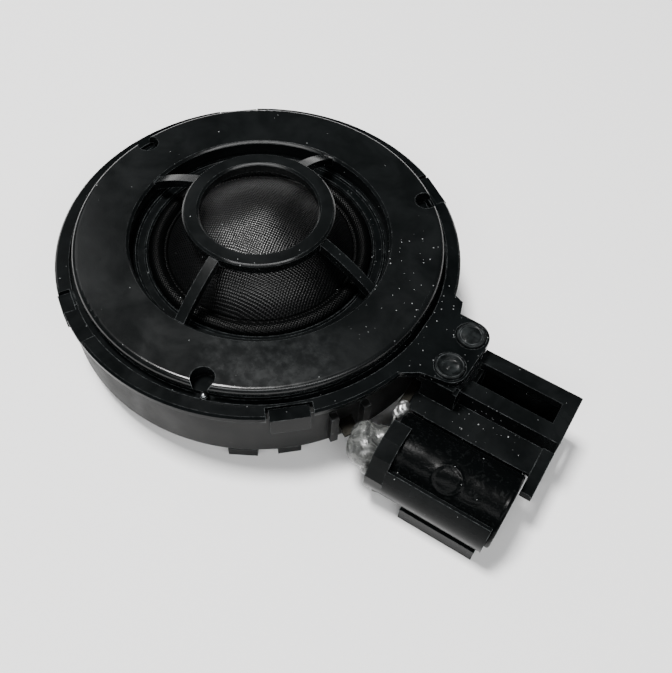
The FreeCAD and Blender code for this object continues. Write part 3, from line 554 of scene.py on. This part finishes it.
def arc(centre, radius, start, end, count):
    """(radius, height) points of a circular arc, angles in degrees."""
    return [(centre[0] + radius * math.cos(math.radians(start + (end - start) * i / count)),
             centre[1] + radius * math.sin(math.radians(start + (end - start) * i / count)))
            for i in range(count + 1)]


def push(item, size, depth, seed):
    """Moves each point of a mesh by noise, along its normal."""
    mesh = item.data
    moves = []
    for vertex in mesh.vertices:
        value = noise.noise(vertex.co / (size * MM) + Vector((seed, seed, seed)))
        moves.append(vertex.normal.copy() * value * depth * MM)
    for vertex, move in zip(mesh.vertices, moves):
        vertex.co += move
    mesh.update()


def finish_piece(item, body, slot, *nodes):
    """Gives a new piece its material, its body and the CAD nodes that it stands for."""
    item.data.materials.clear()
    item.data.materials.append(MATERIALS[slot])
    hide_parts(*nodes)
    if body:
        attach(item, body)
    return item


# ---------------------------------------------------------------- moving parts

def make_dome():
    """Cloth dome: a shell on a sphere, with the slight unevenness of a pressed weave."""
    low, high = corner_mm("soft_dome")
    rim, rise = high.x, high.z - low.z
    ball = (rim ** 2 + rise ** 2) / (2 * rise)
    centre = high.z - ball
    rows = 44
    outer, inner = [], []
    for radius, out in ((ball, outer), (ball - CLOTH, inner)):
        start = math.asin((low.z - centre) / radius)
        for i in range(rows + 1):
            a = start + (math.pi / 2 - start) * i / rows
            out.append((radius * math.cos(a) if i < rows else 0.0, centre + radius * math.sin(a)))
    dome = lathe("dome_cloth_cap", outer[::-1] + inner)
    for vertex in dome.data.vertices:
        x, y, z = vertex.co / MM
        away = math.hypot(x, y) / rim
        broad = noise.noise(Vector((x, y, 0)) / 5.0) * 0.10
        fine = noise.noise(Vector((x, y, 9)) / 2.2) * 0.03
        dent = broad + fine
        vertex.co.z += dent * (1 - away ** 4) * MM
    dome.data.update()
    finish_piece(dome, "dome_assembly", "dome_cloth", "soft_dome")


def make_surround():
    """The half-roll that joins the dome to its seat, as one still piece attached to no body."""
    low = corner_mm("surround_roll")[0]
    base = corner_mm("soft_dome")[0].z
    # lip is the inner edge, under the dome's rim; roll is the distance of the roll's middle
    lip, roll, skin, radius = 12.76, 14.15, CLOTH, 1.0
    profile = [(lip, base), (13.2, base)]
    profile += arc((roll, base), radius - skin, 180, 0, 14)
    profile += [(roll + radius - skin, low.z), (16.0, low.z), (17.3, low.z), (17.3, low.z + skin),
                (16.0, low.z + skin), (roll + radius - 0.02, low.z + skin)]
    profile += arc((roll, base), radius, 8, 166, 18) + [(13.1, base + skin), (lip, base + skin)]
    surround = lathe("surround_cloth_roll", profile, closed=True)
    finish_piece(surround, None, "surround_cloth", "surround_roll")
    inner, outer = lip * MM, (roll + radius + 0.05) * MM
    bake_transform(surround)
    for vertex in surround.data.vertices:
        t = (outer - math.hypot(vertex.co.x, vertex.co.y)) / (outer - inner)
        t = min(1.0, max(0.0, t))


# ---------------------------------------------------------------- glue, solder, stakes

def lump(name, balls, voxel, size, depth, seed):
    """Drops melted into one closed skin; balls are (centre, radii) in millimetres."""
    mesh = bpy.data.meshes.new(name)
    shape = bmesh.new()
    for centre, radii in balls:
        stretch = Matrix.Diagonal((*[r * MM for r in radii], 1))
        matrix = Matrix.Translation(Vector(centre) * MM) @ stretch
        bmesh.ops.create_icosphere(shape, subdivisions=4, radius=1.0, matrix=matrix)
    shape.to_mesh(mesh)
    shape.free()
    item = new_object(name, mesh)
    remesh = item.modifiers.new("skin", "REMESH")
    remesh.mode, remesh.voxel_size = "VOXEL", voxel * MM
    even = item.modifiers.new("even", "SMOOTH")
    even.factor, even.iterations = 0.5, 12
    baked(item)
    push(item, size, depth, seed)
    smooth_faces(item.data)
    return item


def make_hot_melt():
    """The set drop of adhesive that holds the wires at the capacitor's inner end."""
    low, high = corner_mm("hot_melt_bead")
    mid = (low + high) / 2
    balls = [((mid.x + 1.3, mid.y - 0.5, high.z - 3.1), (2.5, 2.5, 2.4)),
             ((mid.x + 0.7, mid.y + 0.7, high.z - 2.8), (2.1, 2.1, 2.0)),
             ((mid.x + 2.5, mid.y + 1.5, high.z - 1.8), (1.4, 1.5, 1.1)),
             ((mid.x + 2.6, mid.y - 1.6, high.z - 4.4), (1.2, 1.5, 1.3))]
    melt = lump("hot_melt_drop", balls, 0.16, 2.4, 0.16, 3.0)
    finish_piece(melt, "tweeter_body", "hot_melt", "hot_melt_bead")


def make_solder():
    """The small bright joint behind the hook: a flat drop with a shoulder."""
    low, high = corner_mm("solder_joint")
    mid = (low + high) / 2
    balls = [((mid.x + 0.35, mid.y, high.z - 0.55), (0.85, 1.2, 0.75)),
             ((mid.x + 0.1, mid.y - 0.6, high.z - 0.8), (0.7, 0.8, 0.6))]
    joint = lump("solder_drop", balls, 0.09, 0.5, 0.14, 8.0)
    finish_piece(joint, "tweeter_body", "solder", "solder_joint")


def make_stakes():
    """Melted heads of the two posts, each with the ring that the hot tool leaves."""
    crowns = {
        "heat_stake_domed": [(1.85, 0.0), (1.88, 0.35), (1.78, 0.52), (1.6, 0.56), (1.47, 0.46),
                             (1.38, 0.4), (1.28, 0.46), (1.1, 0.52), (0.6, 0.56), (0.3, 0.55),
                             (0.0, 0.56)],
        "heat_stake_hollow": [(1.9, 0.0), (1.95, 0.3), (1.88, 0.5), (1.7, 0.58), (1.5, 0.42),
                              (1.35, 0.2), (1.1, 0.1), (0.6, 0.08), (0.38, 0.12), (0.24, 0.22),
                              (0.0, 0.27)],
    }
    lug_top = corner_mm("carrier_flange")[1].z
    neck, foot, foot_height = 0.95, 1.2, 0.48
    sunk = 0.28      # the crown's outline starts this far below the lug's top
    for seed, (node, crown) in enumerate(crowns.items()):
        low, high = corner_mm(node)
        x, y = (low.x + high.x) / 2, (low.y + high.y) / 2
        stem = [(0.0, low.z), (foot, low.z), (foot, low.z + foot_height),
                (neck, low.z + foot_height), (neck, lug_top - sunk)]
        head = lathe(node.replace("stake", "stake_head"),
                     stem + [(r, lug_top - sunk + h) for r, h in crown], 96, (x, y, 0))
        for vertex in head.data.vertices:
            if vertex.co.z > (lug_top - 0.2) * MM:
                place = vertex.co / MM
                vertex.co.z += noise.noise(place / 0.9 + Vector((seed, 0, 0))) * 0.11 * MM
        head.data.update()
        finish_piece(head, "tweeter_body", "arm_plastic", node)


def make_sleeve():
    """Heat-shrunk film round the capacitor, rolled over its outer end, with a moulded ring."""
    low, high = corner_mm("capacitor_sleeve")
    y, z = (low.y + high.y) / 2, (low.z + high.z) / 2
    outer, start, end = (high.y - low.y) / 2, low.x, high.x
    inner = outer - 0.21
    rows = 120
    skin = [(outer, start + (end - 0.45 - start) * i / rows) for i in range(rows + 1)]
    lip = arc((outer - 0.35, end - 0.35), 0.35, 0, 110, 10)
    rim = [(outer - 1.3, end - 0.02), (outer - 1.5, end - 0.2), (inner - 0.5, end - 0.22),
           (inner, end - 0.6)]
    back = [(inner, start)]
    sleeve = lathe("capacitor_sleeve_film", skin + lip + rim + back, SLEEVE_STEPS, (0, y, z),
                   (1, 0, 0), True)
    ring_x, ring_radius, ring_width = (start + end) / 2 + 0.3, 1.75, 0.2
    bend = math.radians(118)    # the ring's place round the capacitor
    for vertex in sleeve.data.vertices:
        place = vertex.co / MM
        out = Vector((0, place.y - y, place.z - z))
        if out.length < inner + 0.05 or place.x > end - 0.5:
            continue
        around = math.atan2(place.z - z, place.y - y)
        reach = math.hypot(place.x - ring_x, (around - bend) * outer)
        raised = 0.07 * math.exp(-((reach - ring_radius) / ring_width) ** 2)
        if reach < ring_radius:
            raised -= 0.03
        wave = noise.noise(Vector((place.x / 2.4, place.y / 1.6, place.z / 1.6))) * 0.05
        vertex.co += out.normalized() * (raised + wave - 0.05) * MM
    sleeve.data.update()
    finish_piece(sleeve, "tweeter_body", "sleeve_film", "capacitor_sleeve")


def make_pin():
    """The pin's polished ball head."""
    low, high = corner_mm("locating_pin")
    x, y, z = (low.x + high.x) / 2, (low.y + high.y) / 2, low.z
    profile = [(0.0, z), (0.5, z), (0.6, z + 0.12)] + arc((0.0, z + 0.45), 0.64, -10, 90, 16)[:-1]
    pin = lathe("locating_pin_head", profile + [(0.0, z + 1.09)], 64, (x, y, 0))
    finish_piece(pin, "tweeter_body", "bright_pin", "locating_pin")


# ---------------------------------------------------------------- build

make_camera()
make_studio()
MATERIALS = make_materials()
make_dome()
make_surround()
make_hot_melt()
make_solder()
make_stakes()
make_sleeve()
make_pin()
for node, name, slot, width in MOULDINGS:
    finish_piece(softened(node, name, width), "tweeter_body", slot, node)

SLOT_OF = {part["node"]: part["material_slot"] for part in frame["record"]["subparts"]}
for node, item in frame["nodes"].items():
    item.data.materials.clear()
    item.data.materials.append(MATERIALS[SLOT_OF[node]])
